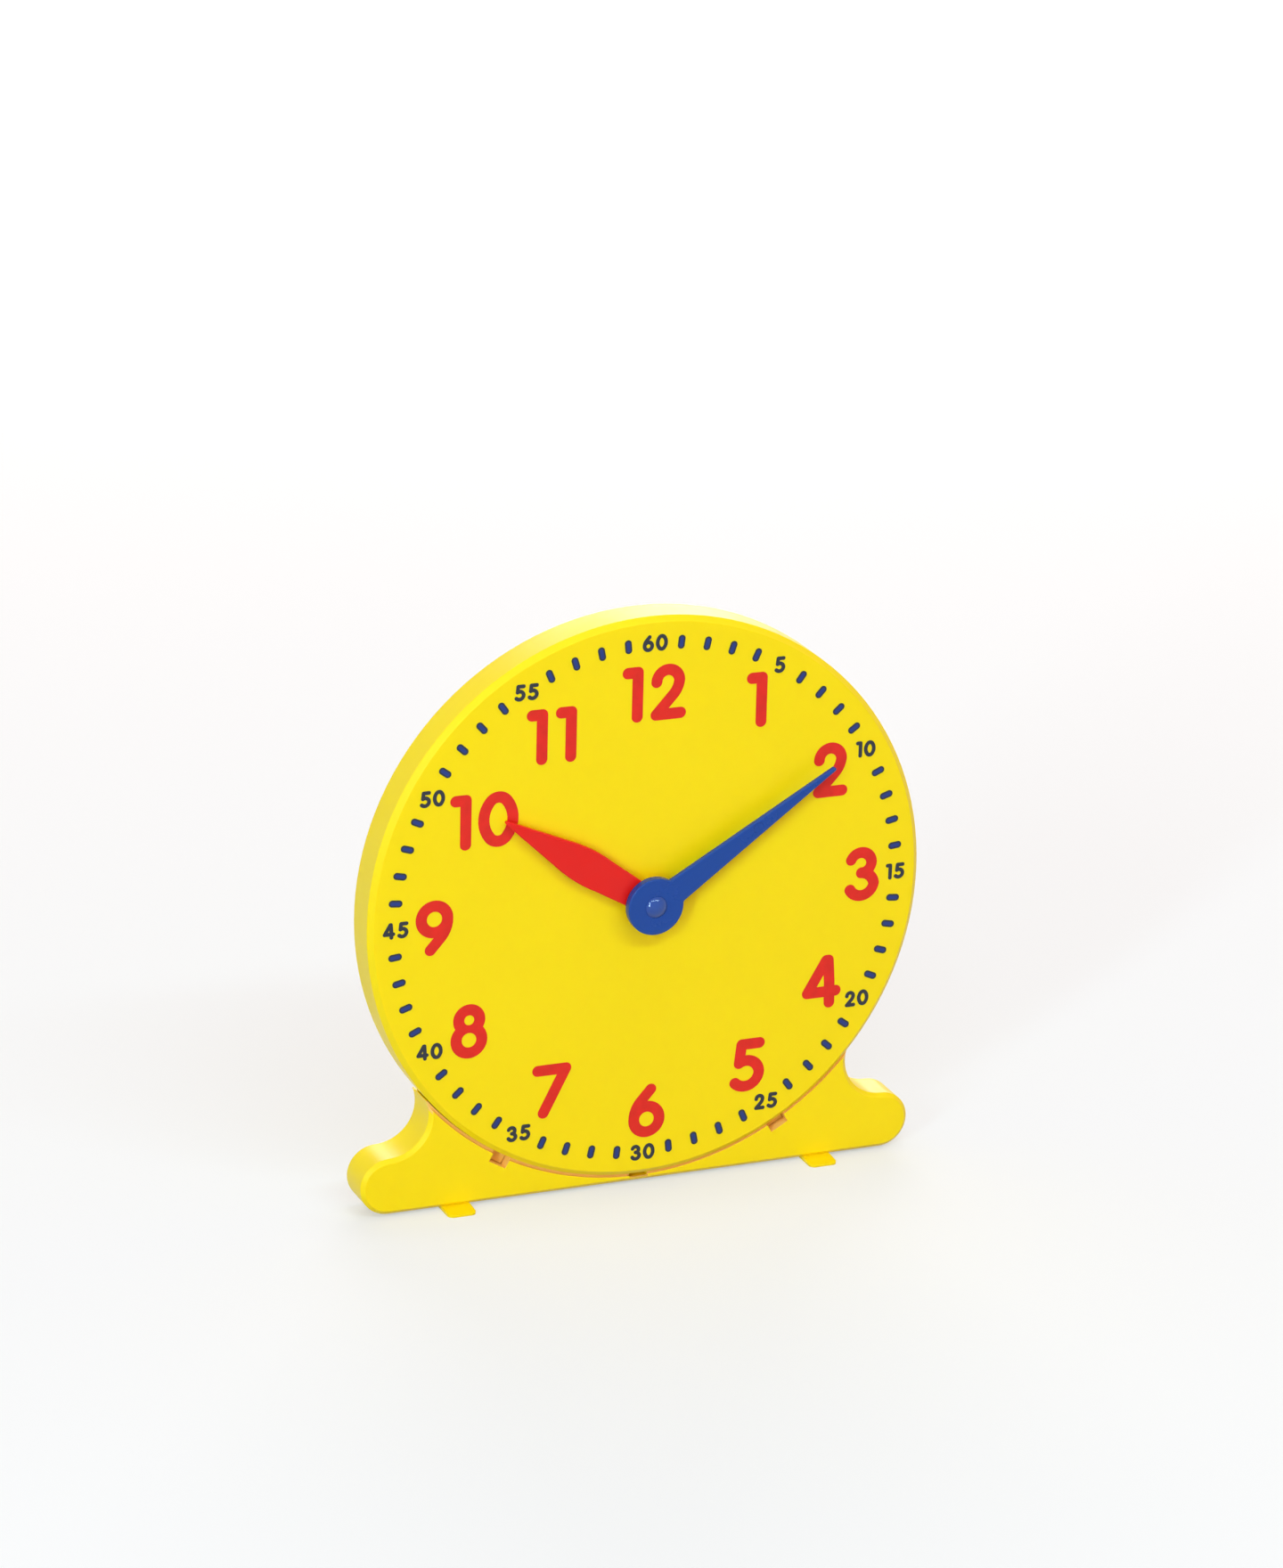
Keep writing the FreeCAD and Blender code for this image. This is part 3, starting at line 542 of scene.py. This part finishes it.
# %% [markdown]
# A stroke becomes flat shapes: a rectangle for a line, an edge that is spun for an arc, and a disc
# wherever two steps meet. They overlap, and overlapping faces make a poor mesh. So all shapes of a
# number go through a triangulation that knows which shapes each triangle lies in. Triangles that
# lie in no shape, or in a room that stays open, are left out, and the rest are dissolved into a few
# large faces.

# %% Draw flat shapes with a round pen
ARC_STEP = math.radians(9)
DISC_SIDES = 32
INSIDE_ONLY = 1             # the kind of triangulation that keeps only what lies in the shapes
SAME_POINT = 1e-7
NEARLY_FLAT = math.radians(1)


def arc_through(start, way, end):
    """The middle of the circle through three points, and the angle from the first to the last by
    way of the second."""
    a, b, c = Vector(start), Vector(way), Vector(end)
    ab, ac = b - a, c - a
    twice_area = 2 * (ab.x * ac.y - ab.y * ac.x)
    middle = a + Vector((
        ac.y * ab.length_squared - ab.y * ac.length_squared,
        ab.x * ac.length_squared - ac.x * ab.length_squared)) / twice_area
    angle = math.atan2(c.y - middle.y, c.x - middle.x) - math.atan2(a.y - middle.y, a.x - middle.x)
    angle %= math.tau
    if twice_area < 0:
        angle -= math.tau
    return middle, angle


def draw_disc(bm, place, radius):
    """A flat disc."""
    spot = Matrix.Translation((place[0], place[1], 0))
    bmesh.ops.create_circle(
        bm, cap_ends=True, segments=DISC_SIDES, radius=radius, matrix=spot)


def draw_line(bm, start, end, pen):
    """A straight pen line, without its round ends."""
    along = Vector(end) - Vector(start)
    middle = (Vector(start) + Vector(end)) / 2
    size = Matrix.Diagonal((along.length, pen, 1, 1))
    turn = Matrix.Rotation(math.atan2(along.y, along.x), 4, "Z")
    bmesh.ops.create_grid(
        bm, x_segments=1, y_segments=1, size=0.5,
        matrix=Matrix.Translation(middle.to_3d()) @ turn @ size)


def draw_arc(bm, start, way, end, pen):
    """A pen line along an arc, without its round ends."""
    middle, angle = arc_through(start, way, end)
    out = Vector(start) - middle
    edge_ends = [middle + out * (1 + side * pen / 2 / out.length) for side in (-1, 1)]
    edge = bm.edges.new([bm.verts.new(point.to_3d()) for point in edge_ends])
    bmesh.ops.spin(
        bm, geom=[*edge.verts, edge], cent=middle.to_3d(), axis=(0, 0, 1), angle=angle,
        steps=max(2, math.ceil(abs(angle) / ARC_STEP)), use_merge=False)


def draw_stroke(bm, stroke, pen):
    """A whole stroke, with a disc at each end of a step."""
    here, *steps = stroke
    draw_disc(bm, here, pen / 2)
    for step in steps:
        if len(step) == 1:
            draw_line(bm, here, step[0], pen)
        else:
            draw_arc(bm, here, *step, pen)
        here = step[-1]
        draw_disc(bm, here, pen / 2)


def merged_outline(bm, rooms):
    """Turns all the shapes in bm into one flat mesh, and leaves the shapes in rooms open."""
    flat, outlines = [], []
    for shapes in (bm, rooms):
        first_room = len(outlines)
        for face in shapes.faces:
            face.normal_update()
            corners = [vertex.co.xy for vertex in face.verts]
            if face.normal.z < 0:
                corners.reverse()
            outlines.append(list(range(len(flat), len(flat) + len(corners))))
            flat.extend(corners)
    rooms.free()
    points, _, faces, _, _, sources = delaunay_2d_cdt(
        flat, [], outlines, INSIDE_ONLY, SAME_POINT)
    bm.clear()
    corners = [bm.verts.new(point.to_3d()) for point in points]
    for face, lies_in in zip(faces, sources):
        if lies_in and max(lies_in) < first_room:
            bm.faces.new([corners[i] for i in face])
    bmesh.ops.delete(bm, geom=[v for v in bm.verts if not v.link_faces], context="VERTS")
    bmesh.ops.dissolve_limit(bm, angle_limit=NEARLY_FLAT, verts=bm.verts, edges=bm.edges)


# %% [markdown]
# Every new piece is drawn in a mesh of its own and then becomes an object, which stays at the
# world's origin. A piece of the clock also rides on one of its bodies, so it moves with it.

# %% From a mesh to a piece
def as_object(bm, name, materials):
    """Makes an object of a mesh, with all its faces to the outside."""
    bmesh.ops.recalc_face_normals(bm, faces=bm.faces)
    mesh = bpy.data.meshes.new(name)
    bm.to_mesh(mesh)
    bm.free()
    for material in materials:
        mesh.materials.append(material)
    made = bpy.data.objects.new(name, mesh)
    bpy.context.scene.collection.objects.link(made)
    return made


def as_piece(bm, name, materials, body):
    """Makes a piece of the clock that rides on a body."""
    piece = as_object(bm, name, materials)
    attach(piece, body)
    return piece


def add_mesh(bm, one):
    """Copies a mesh into another one, and frees it."""
    part = bpy.data.meshes.new("part")
    one.to_mesh(part)
    one.free()
    bm.from_mesh(part)
    bpy.data.meshes.remove(part)


def only(kind, items):
    """The corners or the edges among the items that an operation gives back."""
    return [item for item in items if isinstance(item, kind)]


# %% [markdown]
# A number is laid out like type: its numerals stand side by side with a gap between them, and the
# whole is centred on its place. Then the flat mesh is extruded to a film of ink, stood upright, and
# moved onto the dial. Ink is sunk a hair into the dial, so that no two faces lie in one plane.

# %% Set a number on the dial
INK_THICKNESS = 0.08 * MM
INK_SINK = 0.02 * MM
UPRIGHT = Matrix.Rotation(math.radians(90), 4, "X")


def thicken(bm, thickness):
    """Extrudes a flat mesh into a closed film."""
    grown = bmesh.ops.extrude_face_region(bm, geom=bm.faces[:])["geom"]
    bmesh.ops.translate(bm, verts=only(bmesh.types.BMVert, grown), vec=(0, 0, thickness))


def set_number(text, name, across, up, height, pen, gap, material):
    """Prints a number with its middle at a place on the dial."""
    scale = (height - pen) / (STROKES_HEIGHT * MM)
    widths = [2 * HALF_WIDTHS[numeral] * MM * scale + pen for numeral in text]
    left = -(sum(widths) + gap * (len(text) - 1)) / 2
    bm = bmesh.new()
    for numeral, width in zip(text, widths):
        one = bmesh.new()
        pen_here = pen / scale / MM
        for stroke in NUMERALS[numeral]:
            draw_stroke(one, stroke, pen_here)
        rooms = bmesh.new()
        for middle, radius in COUNTERS.get(numeral, []):
            draw_disc(rooms, middle, radius - pen_here / 2)
        merged_outline(one, rooms)
        bmesh.ops.scale(one, vec=(MM * scale, MM * scale, 1), verts=one.verts)
        bmesh.ops.translate(one, vec=(left + width / 2, 0, 0), verts=one.verts)
        add_mesh(bm, one)
        left += width + gap
    thicken(bm, INK_THICKNESS + INK_SINK)
    spot = Matrix.Translation(on_dial(across, up, -INK_SINK))
    bmesh.ops.transform(bm, matrix=spot @ UPRIGHT, verts=bm.verts)
    return as_piece(bm, name, [material], "clock_case")


# %% [markdown]
# The twelve hour numbers are large and red, and the twelve minute numbers are small and dark. They
# don't lie exactly on circles, because the wide ones are drawn in a little. So each has its own
# place, in millimetres across and up from the axis.

# %% Print the hour and minute numbers
HOUR_PLACES = {
    1: (44.9, 80.8), 2: (78.7, 47.4), 3: (94.6, 0.4), 4: (78.0, -45.0), 5: (45.7, -77.6),
    6: (1.4, -91.9), 7: (-40.7, -77.6), 8: (-76.8, -47.0), 9: (-92.2, -0.8),
    10: (-71.8, 42.3), 11: (-43.5, 74.8), 12: (0.2, 88.3),
}
MINUTE_PLACES = {
    5: (54.6, 94.7), 10: (93.9, 54.7), 15: (109.3, 0), 20: (94.1, -54.1), 25: (54.6, -94.7),
    30: (0, -110.0), 35: (-54.7, -94.3), 40: (-93.7, -53.7), 45: (-108.6, 0),
    50: (-93.7, 53.9), 55: (-54.5, 94.2), 60: (0, 109.3),
}
hour_height = 23.4 * MM
hour_pen = 4.75 * MM
hour_gap = 3.3 * MM
minute_height = 7.0 * MM
minute_pen = 1.6 * MM
minute_gap = 0.9 * MM

for hour, (across, up) in HOUR_PLACES.items():
    set_number(
        str(hour), f"hour_number_{hour}", across * MM, up * MM,
        hour_height, hour_pen, hour_gap, red_ink)
for minute, (across, up) in MINUTE_PLACES.items():
    set_number(
        str(minute), f"minute_number_{minute}", across * MM, up * MM,
        minute_height, minute_pen, minute_gap, slate_ink)
print("numbers:", len(HOUR_PLACES) + len(MINUTE_PLACES))

# %% [markdown]
# Between the minute numbers stand the minute marks: 48 short bars with round ends. A bar is a
# circle whose two halves are moved apart. Its bluer middle is an inset of its own front face,
# raised a hair, with the second material.

# %% Print the minute marks
mark_circle = 109.3 * MM
mark_length = 5.8 * MM
mark_width = 3.0 * MM
mark_border = 0.7 * MM
core_rise = 0.02 * MM
MARK_SIDES = 20
MINUTES = 60
half_step = Matrix.Rotation(math.pi / MARK_SIDES, 4, "Z")
outwards = Matrix.Translation((0, mark_circle, 0))

bm = bmesh.new()
for minute in range(1, MINUTES):
    if minute in MINUTE_PLACES:
        continue
    turn = Matrix.Rotation(-math.tau * minute / MINUTES, 4, "Z")
    bar = bmesh.ops.create_circle(
        bm, cap_ends=True, segments=MARK_SIDES, radius=mark_width / 2, matrix=half_step)["verts"]
    for vertex in bar:
        vertex.co.y += math.copysign((mark_length - mark_width) / 2, vertex.co.y)
    bmesh.ops.transform(bm, matrix=turn @ outwards, verts=bar)
thicken(bm, INK_THICKNESS + INK_SINK)
bm.normal_update()
fronts = [face for face in bm.faces if min(v.co.z for v in face.verts) > INK_THICKNESS / 2]
bmesh.ops.inset_individual(bm, faces=fronts, thickness=mark_border, depth=0)
bmesh.ops.inset_individual(bm, faces=fronts, thickness=core_rise, depth=core_rise)
for face in fronts:
    face.material_index = 1
bmesh.ops.transform(
    bm, matrix=Matrix.Translation(on_dial(0, 0, -INK_SINK)) @ UPRIGHT, verts=bm.verts)
as_piece(bm, "minute_marks", [slate_ink, blue_ink], "clock_case")
print("minute marks:", len(fronts))

# %% [markdown]
# The button over the hands' screw is a smooth dome, and its round form catches the soft boxes as
# two bright arcs. A dome is the top of a ball. So a ball of the right size is cut by a plane, and
# the cut is closed. How large the ball is follows from how wide and how high the button is. The
# solid button in the frame has a plain chamfer, so this finer one stands for it.

# %% Cut the button from a ball
button_radius = (button_high.x - button_low.x) / 2
hand_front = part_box("minute_hand")[0].y
button_rise = hand_front - button_low.y
ball_radius = (button_radius ** 2 + button_rise ** 2) / (2 * button_rise)
BALL_SIDES = 72
BALL_RINGS = 96

bm = bmesh.new()
bmesh.ops.create_uvsphere(
    bm, u_segments=BALL_SIDES, v_segments=BALL_RINGS, radius=ball_radius)
bmesh.ops.bisect_plane(
    bm, geom=bm.verts[:] + bm.edges[:] + bm.faces[:],
    plane_co=(0, 0, ball_radius - button_rise), plane_no=(0, 0, -1), clear_outer=True)
for face in bm.faces:
    face.smooth = True
bmesh.ops.holes_fill(bm, edges=[edge for edge in bm.edges if edge.is_boundary])
bmesh.ops.translate(bm, verts=bm.verts, vec=(0, 0, button_rise - ball_radius))
bmesh.ops.transform(
    bm, matrix=Matrix.Translation((0, hand_front, axis_height)) @ UPRIGHT, verts=bm.verts)
button = as_piece(bm, "hand_button", [polished_blue], "minute_train")
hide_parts("hand_cap")
print("button radius", round(button_radius / MM, 2), "mm, rise", round(button_rise / MM, 2), "mm")

# %% [markdown]
# Four screws hold the cover, and their heads show at the back. A real one has a cross for the
# driver. The head starts as a flat disc with a cross left open in it. Its outer edge is pulled out
# into the cone and the shank, and the edge of the cross is pulled in to make the walls of the
# recess. Like the numerals, a screw is drawn in millimetres first. Each screw lies in its own
# quarter of the cover, which is how the lesson finds its place.

# %% Give the cover screws a cross recess
SHANK_RADIUS = 1.5          # these four are in millimetres
CROSS_LENGTH = 3.0
CROSS_WIDTH = 0.75
CROSS_DEPTH = 1.0
CROSS_TAPER = 0.7           # the floor of the recess is this share of its mouth
HEAD_SIDES = 40
BACKWARDS = Matrix.Rotation(math.radians(-90), 4, "X") @ Matrix.Diagonal((MM, MM, MM, 1))


def pull_loop(bm, edges, share, along):
    """Extrudes a closed loop of edges, scales it about the axis and moves it along."""
    grown = bmesh.ops.extrude_edge_only(bm, edges=edges)["geom"]
    corners = only(bmesh.types.BMVert, grown)
    bmesh.ops.scale(bm, vec=(share, share, 1), verts=corners)
    bmesh.ops.translate(bm, verts=corners, vec=(0, 0, along))
    return only(bmesh.types.BMEdge, grown)


def draw_screw(bm, head_radius, length):
    """A countersunk screw with its flat head up, at the origin."""
    bmesh.ops.create_circle(bm, cap_ends=True, segments=HEAD_SIDES, radius=head_radius)
    cross_lines = bmesh.new()
    for across, up in ((CROSS_LENGTH / 2, 0), (0, CROSS_LENGTH / 2)):
        draw_line(cross_lines, (-across, -up), (across, up), CROSS_WIDTH)
    merged_outline(bm, cross_lines)
    open_edges = [edge for edge in bm.edges if edge.is_boundary]
    beyond_cross = CROSS_LENGTH / 2 + CROSS_WIDTH
    rim = [edge for edge in open_edges if min(v.co.length for v in edge.verts) > beyond_cross]
    cross = [edge for edge in open_edges if edge not in rim]
    cone = head_radius - SHANK_RADIUS
    shank = pull_loop(bm, rim, SHANK_RADIUS / head_radius, -cone)
    tip = pull_loop(bm, shank, 1, cone - length)
    floor = pull_loop(bm, cross, CROSS_TAPER, -CROSS_DEPTH)
    bmesh.ops.holes_fill(bm, edges=tip)
    bmesh.ops.holes_fill(bm, edges=floor)


screw_vertices = [vertex.co for vertex in nodes["cover_screws"].data.vertices]
bm = bmesh.new()
for right in (False, True):
    for high in (False, True):
        own = [
            co for co in screw_vertices
            if (co.x > 0) == right and (co.z > axis_height) == high]
        spans = [(min(co[i] for co in own), max(co[i] for co in own)) for i in range(3)]
        (left_end, right_end), (front_end, back_end), (low_end, high_end) = spans
        one = bmesh.new()
        draw_screw(one, (right_end - left_end) / 2 / MM, (back_end - front_end) / MM)
        middle = Vector(((left_end + right_end) / 2, back_end, (low_end + high_end) / 2))
        bmesh.ops.transform(
            one, matrix=Matrix.Translation(middle) @ BACKWARDS, verts=one.verts)
        add_mesh(bm, one)
crossed_screws = as_piece(bm, "crossed_screws", [zinc_plate], "clock_case")
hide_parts("cover_screws")
print("cover screws:", len(crossed_screws.data.polygons), "faces")

# %% [markdown]
# The floor is a pale sheet that sweeps up behind the clock, as in a studio: one edge is extruded
# back, spun through a quarter turn and extruded up.

# %% Shape the floor and the backdrop
sweep_width = 9.0           # the sweep's sizes are in metres
sweep_front = -4.0
sweep_back = 3.2
sweep_radius = 0.9
sweep_top = 4.0
SWEEP_STEPS = 24


def pulled(bm, edge, by):
    """Extrudes an edge and gives back the new one."""
    grown = bmesh.ops.extrude_edge_only(bm, edges=[edge])["geom"]
    bmesh.ops.translate(bm, verts=only(bmesh.types.BMVert, grown), vec=by)
    return only(bmesh.types.BMEdge, grown)[0]


bm = bmesh.new()
ends = [bm.verts.new((side * sweep_width / 2, sweep_front, 0)) for side in (-1, 1)]
front = bm.edges.new(ends)
back = pulled(bm, front, (0, sweep_back - sweep_front, 0))
spun = bmesh.ops.spin(
    bm, geom=[*back.verts, back], cent=(0, sweep_back, sweep_radius), axis=(1, 0, 0),
    angle=math.radians(90), steps=SWEEP_STEPS, use_merge=False)["geom_last"]
rising = only(bmesh.types.BMEdge, spun)[0]
pulled(bm, rising, (0, 0, sweep_top - sweep_radius))
for face in bm.faces:
    face.smooth = True
print("sweep:", len(bm.faces), "faces")

# %% [markdown]
# The card itself is grey, or it would light the clock from below. To the camera it glows as well, a
# little more further out, where less light falls on it. So the background is evenly pale. The sweep
# isn't part of the clock, so it rides on no body.

# %% Give the card its finish
near_glow = 0.46            # what the camera and reflections see of the card, beyond its lit colour
far_glow = 0.66
far_off = 4.0               # metres from the clock
card_roughness = 0.9
card_specular = 0.1


def seen_rays(tree):
    """One for a ray from the camera, a reflection or a clear piece, and nothing for the light
    on the clock."""
    rays = add_node(tree, "LightPath").outputs
    seen = combined(tree, "Math", "MAXIMUM", rays["Is Camera Ray"], rays["Is Glossy Ray"])
    return combined(tree, "Math", "MAXIMUM", seen, rays["Is Transmission Ray"])


pale_card, tree, shader = new_material("pale_card")
shader.inputs["Base Color"].default_value = srgb(178, 180, 184)
shader.inputs["Roughness"].default_value = card_roughness
shader.inputs["Specular IOR Level"].default_value = card_specular
away = combined(
    tree, "VectorMath", "DISTANCE", object_place(tree), (0, 0, 0), output="Value")
glow = ranged(tree, away, 0, far_off, near_glow, far_glow)
strength = combined(tree, "Math", "MULTIPLY", seen_rays(tree), glow)
shader.inputs["Emission Color"].default_value = (1, 1, 1, 1)
tree.links.new(strength, shader.inputs["Emission Strength"])
sweep = as_object(bm, "studio_sweep", [pale_card])
print("card glows by", near_glow, "to", far_glow)

# %% [markdown]
# The sky fills what the boxes leave dark. Its light comes from all sides, so it is warm where the
# dial looks, and plain behind the clock. It is never seen itself: for the camera and reflections
# there is a pale sky.

# %% Set the sky
front_sky = (0.74, 0.38, 0.2, 1)
back_sky = (0.5, 0.49, 0.48, 1)
pale_sky = (0.92, 0.92, 0.93, 1)
front_end = -0.8            # how far a direction points back, from -1 to 1
back_start = 0.2

sky = bpy.data.worlds.new("sky")
sky.use_nodes = True
tree = sky.node_tree
direction = add_node(tree, "TexCoord").outputs["Generated"]
backwards = add_node(tree, "SeparateXYZ", Vector=direction).outputs["Y"]
filling = mixed(tree, ranged(tree, backwards, front_end, back_start), front_sky, back_sky)
sky_colour = mixed(tree, seen_rays(tree), filling, pale_sky)
tree.links.new(sky_colour, tree.nodes["Background"].inputs["Color"])
bpy.context.scene.world = sky
print("sky: warm in front, plain behind")
